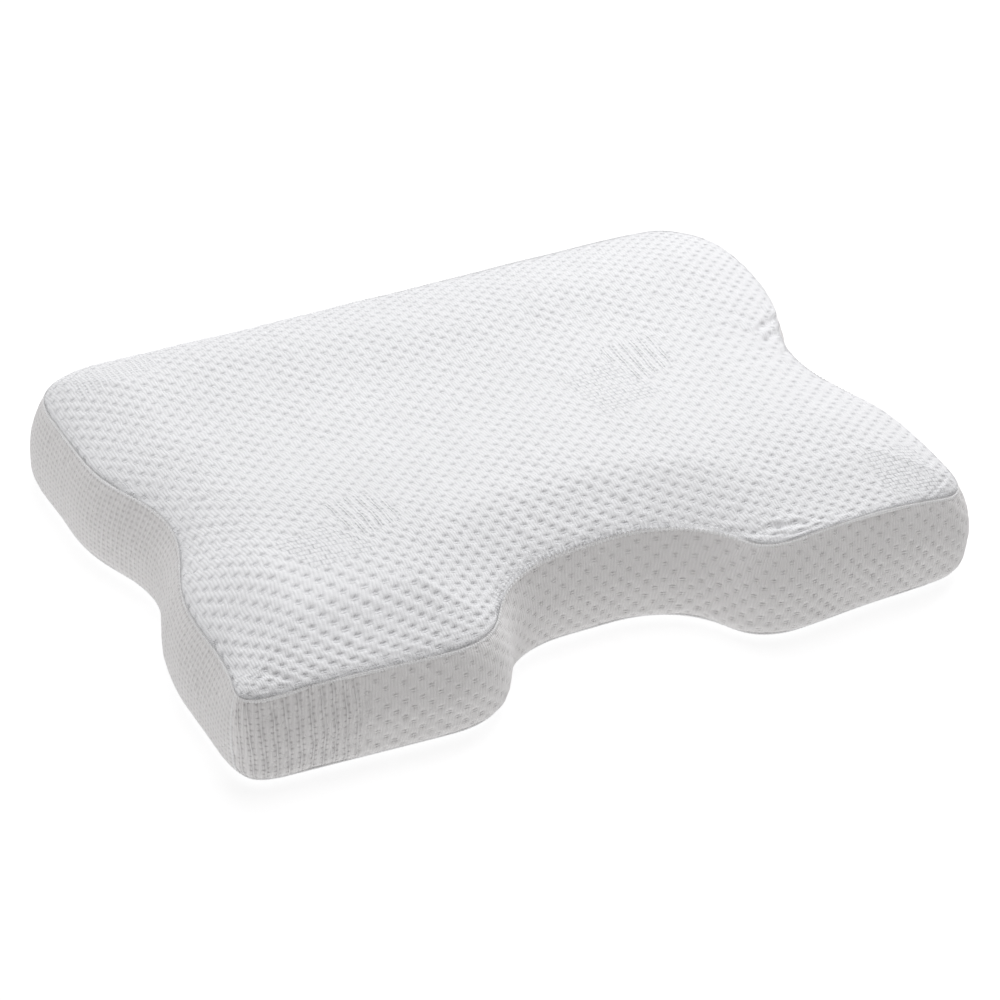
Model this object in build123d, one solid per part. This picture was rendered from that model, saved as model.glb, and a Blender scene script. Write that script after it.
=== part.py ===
from build123d import *
import os

# Contour cervical support pillow: a moulded memory-foam core in a thin jersey
# liner, inside a knitted zip-off cover. Millimetres, +Z up. X runs along the
# long side, the shoulder cut-out faces -Y and the zip is on the +Y side.
# The origin is under the middle of the pillow, on the surface it lies on.

# ---- overall size ---------------------------------------------------------
width = 600.0             # across the two wings, over the seam ridge
depth = 430.0             # lobe tips to the zip pull on the back edge
cap_height = 110.0        # height the rounded walls would reach without the contour
top_radius = 28.0         # rolled edge at the top
bottom_radius = 17.0      # rolled edge at the floor

# ---- layers ---------------------------------------------------------------
cover_thickness = 2.2     # quilted knit
liner_thickness = 0.8     # cotton jersey
layer_gap = 0.1           # play between one layer and the next
liner_seam_z = 45.0       # where the two halves of the liner are joined

# ---- seams of the cover ---------------------------------------------------
bottom_seam_z = 7.0       # where the bottom panel meets the borders
welt_width = 2.0          # folded seam allowance that shows as a fine ridge
welt_proud = 0.5
welt_depth = 1.0

# ---- zip ------------------------------------------------------------------
zip_z = 40.0              # height of the chain on the back wall
window_length = 392.0     # slot in the back border
window_height = 13.0
tape_length = 390.0
tape_width = 12.8
tape_thickness = 0.6
tape_sunk = 0.3           # outer face of the tape below the outer face of the cover
chain_length = 376.0
coil_width = 2.3
coil_height = 2.0
chain_gap = 1.3           # between the two rows of coil, where the divider runs
stop_length = 2.4

slider_length = 10.0
slider_width = 7.4
plate_thickness = 0.7
divider_width = 0.6
divider_length = 2.6
clearance = 0.35          # slider to tape and coil
crown_length = 4.0
crown_width = 2.4
crown_height = 2.2

pull_length = 24.0
pull_width = 6.0
pull_thickness = 1.2
pull_eye_length = 4.6     # opening that the crown stands in
pull_eye_width = 3.0
pin_radius = 0.60
pin_clearance = 0.05

# ---- levels on the back wall, measured outwards from its outer face --------
tape_out = -tape_sunk
tape_in = tape_out - tape_thickness
coil_out = tape_out + coil_height
upper_plate_in = coil_out + clearance
upper_plate_out = upper_plate_in + plate_thickness
lower_plate_out = tape_in - clearance
pin_out = upper_plate_out + crown_height / 2
stand_off = upper_plate_out + crown_height

back_y = depth / 2 - stand_off
front_y = -depth / 2 + welt_proud
side_x = width / 2 - welt_proud

# Half of the outline, from the back edge round the wing to the shoulder
# cut-out: x, y and the radius that rounds the corner.
half_outline = [
    (side_x - 6, back_y, 62),          # back corner
    (side_x - 2.5, 76, 125),           # back of the wing, where the waist begins
    (side_x - 36, 3, 82),              # waist
    (side_x + 0.5, -80, 150),          # front of the waist
    (side_x, front_y + 9, 34),         # outer corner of the front lobe
    (120, front_y - 0.6, 46),          # tip of the front lobe
    (64, front_y + 64, 95),            # root of the shoulder cut-out
]

# Side profile of the top (y, z): a high back edge, a shallow cradle for the
# head and a neck roll just behind the cut-out.
top_profile = [(-260, 86), (-175, 98), (-105, 103), (0, 95), (90, 92), (165, 97), (260, 86)]

# Height of the seam between the top panel and the borders (y, z).
seam_profile = [(-260, 71), (-100, 73), (60, 69), (260, 71)]


def outline_face(inset):
    """Plan of the pillow, drawn in by inset on every side."""
    left = [(-x, y, r) for x, y, r in reversed(half_outline)]
    loop = half_outline + left
    corners = []
    radii = []
    for i, (x, y, r) in enumerate(loop):
        here = Vector(x, y)
        before = (here - Vector(*loop[i - 1][:2])).normalized()
        after = (Vector(*loop[(i + 1) % len(loop)][:2]) - here).normalized()
        inward = Vector(before.Y + after.Y, -before.X - after.X)
        corners.append(here + inward * (inset / (1 + before.dot(after))))
        convex = before.cross(after).Z < 0
        radii.append(r - inset if convex else r + inset)
    return make_face(FilletPolyline(*corners, radius=radii, close=True))


def below(profile, drop=0.0):
    """Everything under a side profile, as a bar along X."""
    curve = Spline(*[(y, z - drop) for y, z in profile])
    first, last = curve @ 0, curve @ 1
    sides = Polyline(last, (last.X, -20), (first.X, -20), first)
    return extrude(Plane.YZ * make_face(curve + sides), amount=width, both=True)


def pillow(inset):
    """The whole pillow, drawn in by inset on every side."""
    body = extrude(Pos(0, 0, inset) * outline_face(inset), amount=cap_height - 2 * inset)
    rim = body.edges().group_by(Axis.Z)[-1]
    body = fillet(rim, top_radius - inset)
    base = body.edges().group_by(Axis.Z)[0]
    body = fillet(base, bottom_radius - inset)
    return body & below(top_profile, inset)


def slab(low, high):
    """Everything between two heights."""
    return Pos(0, 0, (low + high) / 2) * Box(2 * width, 2 * depth, high - low)


def wall_box(x0, x1, out0, out1, z0, z1):
    """Box on the back wall: out0 and out1 are measured outwards from its face."""
    middle = Pos((x0 + x1) / 2, back_y + (out0 + out1) / 2, (z0 + z1) / 2)
    return middle * Box(x1 - x0, out1 - out0, z1 - z0)


# ---- core and liner ---------------------------------------------------------
outer = pillow(0)
liner_inset = cover_thickness + layer_gap
liner_face = pillow(liner_inset)
foam_core = pillow(liner_inset + liner_thickness + layer_gap)
liner = liner_face - pillow(liner_inset + liner_thickness)
inner_liner_top = liner & slab(liner_seam_z, cap_height)
inner_liner_bottom = liner & slab(0, liner_seam_z)

# ---- cover shell and its seams ---------------------------------------------
shell = outer - pillow(cover_thickness)
ridge = pillow(-welt_proud) - pillow(welt_depth)

# The border is one strip closed by a seam at the front left corner; the zip
# panel is let into it at the back between two more upright seams.
half_window = window_length / 2
corner_x = -side_x + 10
corner_y = front_y + 9 + 10
reach = corner_x + half_window
left_zone = make_face(
    Polyline(
        (-half_window, depth),
        (-width, depth),
        (-width, corner_y - corner_x - width),
        (-half_window, corner_y - reach),
        close=True,
    )
)
left_zone = extrude(left_zone, amount=cap_height)
zip_zone = Pos(0, back_y, 0) * Box(window_length, 60, 2 * cap_height)

half_welt = welt_width / 2
top_seam_welt = ridge & (below(seam_profile, -half_welt) - below(seam_profile, half_welt))
bottom_seam_welt = ridge & slab(bottom_seam_z - half_welt, bottom_seam_z + half_welt)
top_panel = shell - below(seam_profile, -half_welt)
bottom_panel = shell & slab(-1, bottom_seam_z - half_welt)

border = shell & below(seam_profile, half_welt) & slab(bottom_seam_z + half_welt, cap_height)
upright_ridge = ridge & below(seam_profile, half_welt) & slab(bottom_seam_z + half_welt, cap_height)
corner_sheet = Pos(corner_x, corner_y, 0) * Rot(0, 0, 45) * Box(80, welt_width, 2 * cap_height)
corner_seam = upright_ridge & corner_sheet
end_sheet = Pos(half_window, back_y, 0) * Box(welt_width, 60, 2 * cap_height)
end_seam = upright_ridge & end_sheet
zipper_end_seams = end_seam + mirror(end_seam, about=Plane.YZ)

border = border - corner_seam - zipper_end_seams
left_border = border & left_zone
back_border = border & zip_zone
wraparound_border = border - left_zone - zip_zone

# ---- zip tapes and chain -----------------------------------------------------
half_gap = chain_gap / 2
tape = wall_box(
    -tape_length / 2, tape_length / 2, tape_in, tape_out, zip_z + half_gap, zip_z + half_gap + tape_width
)
coil = wall_box(
    -chain_length / 2, chain_length / 2, tape_out, coil_out, zip_z + half_gap, zip_z + half_gap + coil_width
)
coil_rims = coil.edges().filter_by(Axis.X).group_by(Axis.Y)[-1]
coil = fillet(coil_rims, 0.6)

to_lower = Plane(origin=(0, 0, zip_z), z_dir=(0, 0, 1))
zipper_tape_upper = tape
zipper_tape_lower = mirror(tape, about=to_lower)
zipper_coil_upper = coil
zipper_coil_lower = mirror(coil, about=to_lower)

# A metal stop on each tape past the closed end, one across both at the other.
stop_x = chain_length / 2
stop_top = zip_z + half_gap + coil_width
upper_stop = wall_box(
    stop_x + 0.2, stop_x + 0.2 + stop_length, tape_out, coil_out, zip_z + half_gap, stop_top
)
zipper_top_stops = upper_stop + mirror(upper_stop, about=to_lower)
zipper_bottom_stop = wall_box(
    -stop_x - 0.2 - stop_length, -stop_x - 0.2, tape_out, coil_out, 2 * zip_z - stop_top, stop_top
)

window = wall_box(-half_window, half_window, -5, 5, zip_z - window_height / 2, zip_z + window_height / 2)
back_border = back_border - window - zipper_tape_upper - zipper_tape_lower
back_border_upper = back_border & slab(zip_z, cap_height)
back_border_lower = back_border & slab(0, zip_z)

# ---- slider, at the closed end of the chain -----------------------------------
slider_x = chain_length / 2 - slider_length / 2 - 1
s0 = slider_x - slider_length / 2
s1 = slider_x + slider_length / 2
half_slider = slider_width / 2
corner = 1.6

upper_plate = wall_box(s0, s1, upper_plate_in, upper_plate_out, zip_z - half_slider, zip_z + half_slider)
upper_plate = fillet(upper_plate.edges().filter_by(Axis.Y), corner)
lower_plate = wall_box(
    s0, s1, lower_plate_out - plate_thickness, lower_plate_out, zip_z - half_slider, zip_z + half_slider
)
lower_plate = fillet(lower_plate.edges().filter_by(Axis.Y), corner)
divider = wall_box(
    s1 - divider_length - 0.6,
    s1 - 0.6,
    lower_plate_out - plate_thickness / 2,
    upper_plate_in + plate_thickness / 2,
    zip_z - divider_width / 2,
    zip_z + divider_width / 2,
)
flange_foot = half_gap + coil_width + clearance
flange = wall_box(
    s0 + corner, s1 - corner, tape_out + clearance, upper_plate_out - 0.2, zip_z + flange_foot, zip_z + half_slider
)
crown = wall_box(
    slider_x - crown_length / 2,
    slider_x + crown_length / 2,
    upper_plate_out - 0.1,
    stand_off,
    zip_z - crown_width / 2,
    zip_z + crown_width / 2,
)
crown_tops = crown.edges().filter_by(Axis.Z).group_by(Axis.Y)[-1]
crown = fillet(crown_tops, 0.9)
pin_centre = Pos(slider_x, back_y + pin_out, zip_z)
crown = crown - pin_centre * Cylinder(pin_radius + pin_clearance, 2 * crown_width)
zipper_slider = upper_plate + lower_plate + divider + flange + mirror(flange, about=to_lower) + crown

# ---- pull tab, lying flat along the closed chain ------------------------------
pull_x = slider_x - pull_length / 2 + pin_radius
tab = Pos(pull_x, back_y + pin_out, zip_z) * Box(pull_length, pull_thickness, pull_width)
free_end = tab.edges().filter_by(Axis.Y).group_by(Axis.X)[0]
tab = fillet(free_end, pull_width / 2 - 0.2)
shoulders = tab.edges().filter_by(Axis.Y).group_by(Axis.X)[-1]
tab = fillet(shoulders, 0.8)
nose = tab.edges().filter_by(Axis.Z).group_by(Axis.X)[-1]
tab = fillet(nose, pin_radius - 0.02)
eye = Pos(slider_x + pin_radius + 1 - (pull_eye_length + 2) / 2, back_y + pin_out, zip_z)
tab = tab - eye * Box(pull_eye_length + 2, 2 * pull_thickness, pull_eye_width)
pin = pin_centre * Cylinder(pin_radius, pull_eye_width + 0.4)
hanging_hole = Pos(slider_x - pull_length + 4.2, back_y + pin_out, zip_z)
tab = tab - hanging_hole * Rot(90, 0, 0) * Cylinder(1.3, 2 * pull_thickness)
zipper_pull = tab + pin

# ---- files -------------------------------------------------------------------
pieces = {
    "foam_core": foam_core,
    "inner_liner_top": inner_liner_top,
    "inner_liner_bottom": inner_liner_bottom,
    "top_panel": top_panel,
    "bottom_panel": bottom_panel,
    "wraparound_border": wraparound_border,
    "left_border": left_border,
    "back_border_upper": back_border_upper,
    "back_border_lower": back_border_lower,
    "top_seam_welt": top_seam_welt,
    "bottom_seam_welt": bottom_seam_welt,
    "corner_seam": corner_seam,
    "zipper_end_seams": zipper_end_seams,
    "zipper_tape_upper": zipper_tape_upper,
    "zipper_tape_lower": zipper_tape_lower,
    "zipper_coil_upper": zipper_coil_upper,
    "zipper_coil_lower": zipper_coil_lower,
    "zipper_top_stops": zipper_top_stops,
    "zipper_bottom_stop": zipper_bottom_stop,
    "zipper_slider": zipper_slider,
    "zipper_pull": zipper_pull,
}

os.makedirs("parts", exist_ok=True)
for name, piece in pieces.items():
    export_step(piece, f"parts/{name}.step")
    box = piece.bounding_box()
    size = " x ".join(f"{side:.1f}" for side in (box.size.X, box.size.Y, box.size.Z))
    print(f"{name}: {size} mm, {piece.volume:.1f} mm3, {len(piece.solids())} solids")
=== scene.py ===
import math

import bpy
import numpy as np
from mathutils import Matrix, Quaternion, Vector


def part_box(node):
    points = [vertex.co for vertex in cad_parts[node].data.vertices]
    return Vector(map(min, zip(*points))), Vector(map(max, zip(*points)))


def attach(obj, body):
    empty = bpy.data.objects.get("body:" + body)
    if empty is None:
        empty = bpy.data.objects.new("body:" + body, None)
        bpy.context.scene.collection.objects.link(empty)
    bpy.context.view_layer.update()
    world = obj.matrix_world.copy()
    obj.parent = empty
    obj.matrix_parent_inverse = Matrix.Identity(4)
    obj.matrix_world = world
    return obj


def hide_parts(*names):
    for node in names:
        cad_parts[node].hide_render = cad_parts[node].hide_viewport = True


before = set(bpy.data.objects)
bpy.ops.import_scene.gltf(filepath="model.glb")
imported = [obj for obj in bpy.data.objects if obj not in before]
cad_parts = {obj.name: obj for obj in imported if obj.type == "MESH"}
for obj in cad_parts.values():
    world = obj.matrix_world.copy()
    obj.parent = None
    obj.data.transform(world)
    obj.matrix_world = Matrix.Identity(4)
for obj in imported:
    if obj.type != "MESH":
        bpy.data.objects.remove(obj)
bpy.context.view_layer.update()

# Contour cervical pillow. Lengths in this script are metres, in the CAD frame:
# +Z up, X along the wings, the shoulder cut-out towards -Y, the zip towards +Y.

RNG = np.random.default_rng(11)

# ---- shape ----------------------------------------------------------------
BACK_Y = 0.21005          # outer face of the cover on the back wall
FRONT_Y = -0.2145
SIDE_X = 0.2995
OUTLINE = [               # half of the plan: x, y, corner radius
    (SIDE_X - 0.006, BACK_Y, 0.062),
    (SIDE_X - 0.0025, 0.076, 0.125),
    (SIDE_X - 0.036, 0.003, 0.082),
    (SIDE_X + 0.0005, -0.080, 0.150),
    (SIDE_X, FRONT_Y + 0.009, 0.034),
    (0.120, FRONT_Y - 0.0006, 0.046),
    (0.064, FRONT_Y + 0.064, 0.095),
]
NX = 480                  # quads along the front and the back edge
NY = 336                  # quads along each side
COARSE = 4                # one simulated vertex for so many fine ones
WALL_ROWS = 56            # quads from the bottom seam to the top seam
FLOOR_SEAM_Z = 0.007
ZIP_HALF = 0.196          # half of the slot in the back border
SLOT = (0.0335, 0.0465)   # lower and upper edge of that slot
SLOT_ROWS = (22, 33)      # rows of the wall on those edges
FLOOR_RADIUS = 0.017      # how the wall and the underside roll into each other
FLOOR_INSET = FLOOR_RADIUS - math.sqrt(FLOOR_RADIUS**2 - (FLOOR_RADIUS - FLOOR_SEAM_Z) ** 2)
DOME = (-0.012, 0.062)    # the slow part of the top's rise, as distances from the seam

# Knit and stitches
PITCH_X, PITCH_Y = 0.0133, 0.0131     # dimple lattice
BRICK = (0.0078, 0.0046)  # length and height of one bar of the brick figure
LADDER = (0.0080, 0.0050) # spacing of the ladder figure's stripes and rungs
DOT = (0.0046, 0.0045)    # spacing of the dotted figure
STITCH = 0.0027           # one stitch of the seams


def smooth_step(a, b, x):
    t = np.clip((x - a) / (b - a), 0, 1)
    return t * t * (3 - 2 * t)


def bump_at(x, y, cx, cy, rx, ry, turn=0.0):
    """Soft round bump of height 1 at (cx, cy)."""
    c, s = math.cos(turn), math.sin(turn)
    u = (x - cx) * c + (y - cy) * s
    v = -(x - cx) * s + (y - cy) * c
    return np.exp(-((u / rx) ** 2) - (v / ry) ** 2)


# ---- outline --------------------------------------------------------------
def dense_outline(step=0.0006):
    """The rounded outline as closely spaced points, clockwise from the back."""
    left = [(-x, y, r) for x, y, r in reversed(OUTLINE)]
    loop = OUTLINE + left
    n = len(loop)
    runs = []
    for i, (x, y, r) in enumerate(loop):
        p = np.array([x, y])
        a = p - np.array(loop[i - 1][:2])
        b = np.array(loop[(i + 1) % n][:2]) - p
        a, b = a / np.linalg.norm(a), b / np.linalg.norm(b)
        turn = math.atan2(a[0] * b[1] - a[1] * b[0], a @ b)
        cut = r * math.tan(abs(turn) / 2)
        start = p - a * cut
        side = np.array([-a[1], a[0]]) * math.copysign(1, turn)
        centre = start + side * r
        steps = max(2, int(abs(turn) * r / step))
        angles = np.linspace(0, turn, steps)
        arm = start - centre
        cos, sin = np.cos(angles), np.sin(angles)
        arc = np.stack([arm[0] * cos - arm[1] * sin, arm[0] * sin + arm[1] * cos], 1)
        runs.append(arc + centre)
    points = np.concatenate(runs)
    points = np.concatenate([points, points[:1]])
    return resample(points, np.arange(3000) / 3000)


def grade(count):
    """0 to 1 in count steps, a little finer at both ends."""
    t = np.linspace(0, 1, count + 1)
    return t - 0.2 * np.sin(2 * np.pi * t) / (2 * np.pi)


def resample(points, at):
    """Points at the given shares of the length of a run."""
    gaps = np.linalg.norm(np.diff(points, axis=0), axis=1)
    along = np.concatenate([[0], np.cumsum(gaps)])
    at = np.asarray(at) * along[-1]
    return np.stack([np.interp(at, along, points[:, k]) for k in range(points.shape[1])], 1)


def blur_loop(values, width):
    """Gaussian blur along a closed loop; width in samples."""
    reach = int(3 * width) + 1
    k = np.exp(-0.5 * (np.arange(-reach, reach + 1) / width) ** 2)
    k /= k.sum()
    padded = np.concatenate([values[-reach:], values, values[:reach]])
    return np.stack([np.convolve(padded[:, c], k, "valid") for c in range(values.shape[1])], 1)


# Where the filled cover departs from the cut of the foam: centre, reach and shift.
NUDGES = [
    ((-0.100, -0.200), 0.035, (0.010, 0.000)),
    ((-0.290, 0.110), 0.060, (0.003, 0.000)),
    ((0.290, -0.195), 0.040, (0.001, 0.004)),
    ((0.112, -0.205), 0.038, (-0.010, 0.002)),
    ((0.200, -0.215), 0.060, (0.000, 0.004)),
    ((0.287, 0.140), 0.050, (0.005, 0.000)),
    ((-0.282, 0.188), 0.030, (-0.003, 0.003)),
    ((-0.296, -0.210), 0.018, (-0.005, -0.003)),
    ((0.285, -0.060), 0.050, (-0.005, 0.000)),
]


def nudged(points):
    x, y = points[:, 0], points[:, 1]
    total = np.zeros_like(points)
    for (cx, cy), reach, shift in NUDGES:
        total += bump_at(x, y, cx, cy, reach, reach)[:, None] * np.array(shift)
    return points + total


RIM = nudged(blur_loop(dense_outline(), 9))


def nearest_index(x, y):
    return int(np.argmin((RIM[:, 0] - x) ** 2 + (RIM[:, 1] - y) ** 2))


def rim_run(i, j, count):
    """count + 1 points from rim index i forward to j."""
    n = len(RIM)
    idx = np.arange(i, j + (n if j <= i else 0) + 1) % n
    return resample(RIM[idx], grade(count))


# Corners where the grid of the top panel turns.
BACK_LEFT = nearest_index(-0.277, 0.193)
BACK_RIGHT = nearest_index(0.277, 0.193)
FRONT_RIGHT = nearest_index(0.290, -0.198)
FRONT_LEFT = nearest_index(-0.290, -0.198)


def loop_points():
    """The rim as NX + NY + NX + NY points, clockwise from the back left corner."""
    back = rim_run(BACK_LEFT, BACK_RIGHT, NX)
    right = rim_run(BACK_RIGHT, FRONT_RIGHT, NY)
    front = rim_run(FRONT_RIGHT, FRONT_LEFT, NX)
    left = rim_run(FRONT_LEFT, BACK_LEFT, NY)
    return np.concatenate([back[:-1], right[:-1], front[:-1], left[:-1]])


RING = loop_points()
COUNT = len(RING)
STEP = np.roll(RING, -1, axis=0) - np.roll(RING, 1, axis=0)
TANGENT = STEP / np.linalg.norm(STEP, axis=1)[:, None]
INWARD = np.stack([TANGENT[:, 1], -TANGENT[:, 0]], 1)
INWARD = blur_loop(INWARD, 3)
INWARD /= np.linalg.norm(INWARD, axis=1)[:, None]
GAPS = np.linalg.norm(np.diff(RING, axis=0, append=RING[:1]), axis=1)
LENGTHS = np.concatenate([[0], np.cumsum(GAPS)])
# The border's knit meets itself after a whole number of dimples.
LOOP = round(LENGTHS[-1] / PITCH_X) * PITCH_X
ALONG = LENGTHS[:-1] * (LOOP / LENGTHS[-1])


# ---- seams and contour ------------------------------------------------------
def seam_height(x, y):
    """Height of the top seam: the cover sits a little higher on the right."""
    z = 0.0715 + 0.0015 * np.sin(y / 0.215 * 1.2)
    z = z + 0.007 * smooth_step(-0.25, 0.25, x)
    z = z + 0.0065 * smooth_step(0.09, 0.20, x) * smooth_step(-0.10, -0.19, y)
    z = z + 0.003 * bump_at(x, y, 0.02, -0.15, 0.09, 0.04)
    z = z + 0.0035 * bump_at(x, y, -0.24, -0.2, 0.09, 0.06)
    z = z + 0.0050 * bump_at(x, y, 0.13, -0.2, 0.05, 0.05)
    z = z - 0.0120 * bump_at(x, y, 0.30, -0.2, 0.055, 0.06)
    return z


def seam_inset(x, y):
    """How far the wall leans in between its belly and the top seam."""
    lean = 0.0085 + 0.003 * smooth_step(0.0, -0.15, y)
    lean = lean + 0.0045 * bump_at(np.abs(x), y, 0.262, 0.0, 0.05, 0.05)
    return lean - 0.0075 * bump_at(x, y, -0.288, -0.208, 0.034, 0.034)


def corner_pull(x, y):
    """Where the front left corner of the top seam is drawn out, as x and y shifts."""
    share = bump_at(x, y, -0.292, -0.206, 0.034, 0.034)
    return share[..., None] * np.array([-0.0075, 0.0045])


def contour(x, y):
    """Height of the top away from its rim."""
    ys = np.array([-0.26, -0.20, -0.15, -0.105, -0.04, 0.03, 0.10, 0.16, 0.20, 0.26])
    zs = np.array([0.086, 0.089, 0.094, 0.0985, 0.095, 0.089, 0.0885, 0.0945, 0.0955, 0.088])
    fine = np.linspace(-0.26, 0.26, 521)
    level = np.interp(fine, ys, zs)
    k = np.exp(-0.5 * (np.arange(-60, 61) / 18.0) ** 2)
    level = np.convolve(np.pad(level, 60, mode="edge"), k / k.sum(), "valid")
    z = np.interp(y, fine, level)
    z = z - 0.0035 * bump_at(x, y, 0, 0.05, 0.13, 0.09)
    z = z - 0.007 * smooth_step(-0.16, 0.08, x) * smooth_step(0.12, 0.20, y)
    z = z - 0.006 * bump_at(x, y, 0.27, -0.06, 0.06, 0.07)
    return z


def rim_distance(x, y, ring):
    """Distance to the seam ring and the direction away from it."""
    flat = np.stack([x.ravel(), y.ravel()], 1)
    best = np.full(len(flat), 9.0)
    away = np.zeros_like(flat)
    sparse = ring[::2]
    for k in range(0, len(flat), 4000):
        part = flat[k : k + 4000]
        gap = part[:, None] - sparse[None]
        d2 = (gap**2).sum(2)
        i = d2.argmin(1)
        pick = np.arange(len(part))
        best[k : k + 4000] = np.sqrt(d2[pick, i])
        away[k : k + 4000] = gap[pick, i]
    return best.reshape(x.shape), away.reshape(x.shape + (2,))


def coons(ring, z):
    """Grid of (NY + 1) x (NX + 1) points inside a ring; row 0 is the back edge."""
    full = np.column_stack([ring, z])
    back = full[0 : NX + 1]
    right = full[NX : NX + NY + 1]
    front = full[NX + NY : 2 * NX + NY + 1][::-1]
    left = np.concatenate([full[2 * NX + NY :], full[:1]])[::-1]
    u = grade(NX)[None, :, None]
    v = grade(NY)[:, None, None]
    sides = (1 - u) * left[:, None] + u * right[:, None]
    ends = (1 - v) * back[None] + v * front[None]
    corners = (
        (1 - u) * (1 - v) * back[0]
        + u * (1 - v) * back[-1]
        + (1 - u) * v * front[0]
        + u * v * front[-1]
    )
    return sides + ends - corners


def ring_of(grid):
    """The boundary of a grid in the order of the ring."""
    return np.concatenate([grid[0, :-1], grid[:-1, -1], grid[-1, :0:-1], grid[:0:-1, 0]])


# ---- smooth form, before the cloth settles ----------------------------------
def rim_rise(d, share, reach):
    """Climb at distance d from the seam: a quick roll of the edge, then a slow dome."""
    return share * (1 - np.exp(-d / reach)) + (1 - share) * smooth_step(*DOME, d)


def top_form():
    """Grid of the top panel, with each point's distance and direction from the seam."""
    ring_x, ring_y = RING[:, 0], RING[:, 1]
    seam = RING + INWARD * seam_inset(ring_x, ring_y)[:, None] + corner_pull(ring_x, ring_y)
    grid = coons(seam, seam_height(ring_x, ring_y))
    x, y, base = grid[..., 0], grid[..., 1], grid[..., 2]
    d, away = rim_distance(x, y, seam)
    front = smooth_step(0.02, -0.14, y)
    share = 0.46 - 0.18 * front
    reach = 0.0085 - 0.0035 * front
    start = rim_rise(0.0, share, reach)
    rise = (rim_rise(d, share, reach) - start) / (1 - start)
    z = base + (contour(x, y) - base) * rise
    return np.stack([x, y, z], -1), d, away


def wall_levels(top):
    """Heights of the rows of the wall, for seam heights top."""
    rows = np.arange(WALL_ROWS + 1)[:, None]
    slot_top = SLOT_ROWS[1]
    low = np.interp(rows, [0, *SLOT_ROWS], [FLOOR_SEAM_Z, *SLOT])
    share = np.clip((rows - slot_top) / (WALL_ROWS - slot_top), 0, 1)
    return np.where(rows <= slot_top, low, SLOT[1] + (top[None] - SLOT[1]) * share)


def wall_inset(z, top, lean):
    """How far the wall stands inside the rim at height z."""
    under = np.clip(FLOOR_RADIUS - z, 0, None)
    low = FLOOR_RADIUS - np.sqrt(FLOOR_RADIUS**2 - under**2)
    share = np.clip((z - 0.030) / (top - 0.030), 0, 1)
    return low + lean * share**1.9


def wall_form():
    """Rows of the wall, from the floor seam up to the top seam."""
    x, y = RING[:, 0], RING[:, 1]
    top = seam_height(x, y)
    z = wall_levels(top)
    inset = wall_inset(z, top[None], seam_inset(x, y)[None])
    # The walls swell a little between their seams, except along the zip.
    share = (z - FLOOR_SEAM_Z) / (top[None] - FLOOR_SEAM_Z)
    swell = 0.0012 * np.sin(np.pi * np.clip(share, 0, 1)) * (1 - zip_share(x, y))[None]
    inset = inset - swell
    xy = RING[None] + INWARD[None] * inset[..., None]
    xy = xy + corner_pull(x, y)[None] * np.clip(share, 0, 1)[..., None]
    return np.concatenate([xy, z[..., None]], -1)


def zip_share(x, y):
    """1 on the flat stretch of the back wall that carries the zip."""
    return smooth_step(0.222, 0.202, np.abs(x)) * smooth_step(0.15, 0.18, y)


def floor_form():
    """Grid of the underside, rolled up to the floor seam."""
    ring = RING + INWARD * FLOOR_INSET
    grid = coons(ring, np.zeros(COUNT))[::2, ::2]
    d, _ = rim_distance(grid[..., 0], grid[..., 1], ring)
    e = np.clip(FLOOR_RADIUS - FLOOR_INSET - d, 0, None)
    z = FLOOR_RADIUS - np.sqrt(FLOOR_RADIUS**2 - e**2)
    return np.stack([grid[..., 0], grid[..., 1], z], -1)


def grid_faces(rows, cols, wrap=False, flip=False):
    """Quads of a rows x cols grid of vertices."""
    r = np.arange(rows - 1)[:, None]
    c = np.arange(cols if wrap else cols - 1)[None]
    here, below = r * cols, (r + 1) * cols
    beside = (c + 1) % cols
    corners = np.broadcast_arrays(here + c, below + c, below + beside, here + beside)
    quads = np.stack(corners, -1).reshape(-1, 4)
    return quads[:, ::-1] if flip else quads


def mesh_object(name, verts, faces):
    """Smooth-shaded mesh of faces that all have the same number of corners."""
    mesh = bpy.data.meshes.new(name)
    verts = np.ascontiguousarray(verts, np.float32).reshape(-1, 3)
    faces = np.asarray(faces, np.int32)
    mesh.vertices.add(len(verts))
    mesh.vertices.foreach_set("co", verts.ravel())
    mesh.loops.add(faces.size)
    mesh.loops.foreach_set("vertex_index", faces.ravel())
    mesh.polygons.add(len(faces))
    side = faces.shape[1]
    mesh.polygons.foreach_set("loop_start", np.arange(0, faces.size, side, dtype=np.int32))
    mesh.polygons.foreach_set("loop_total", np.full(len(faces), side, np.int32))
    mesh.polygons.foreach_set("use_smooth", np.ones(len(faces), bool))
    mesh.update(calc_edges=True)
    obj = bpy.data.objects.new(name, mesh)
    bpy.context.scene.collection.objects.link(obj)
    return obj


# ---- cloth ------------------------------------------------------------------
PIN_COVER, PIN_SEAM = 0.30, 0.45      # how firmly the cloth is held to its form
PIN_LOW_ROWS = (1.0, 0.8, 0.4)        # and its lowest rows of the wall
LAST_FRAME = 20
MOST_MOVED = 0.005


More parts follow.
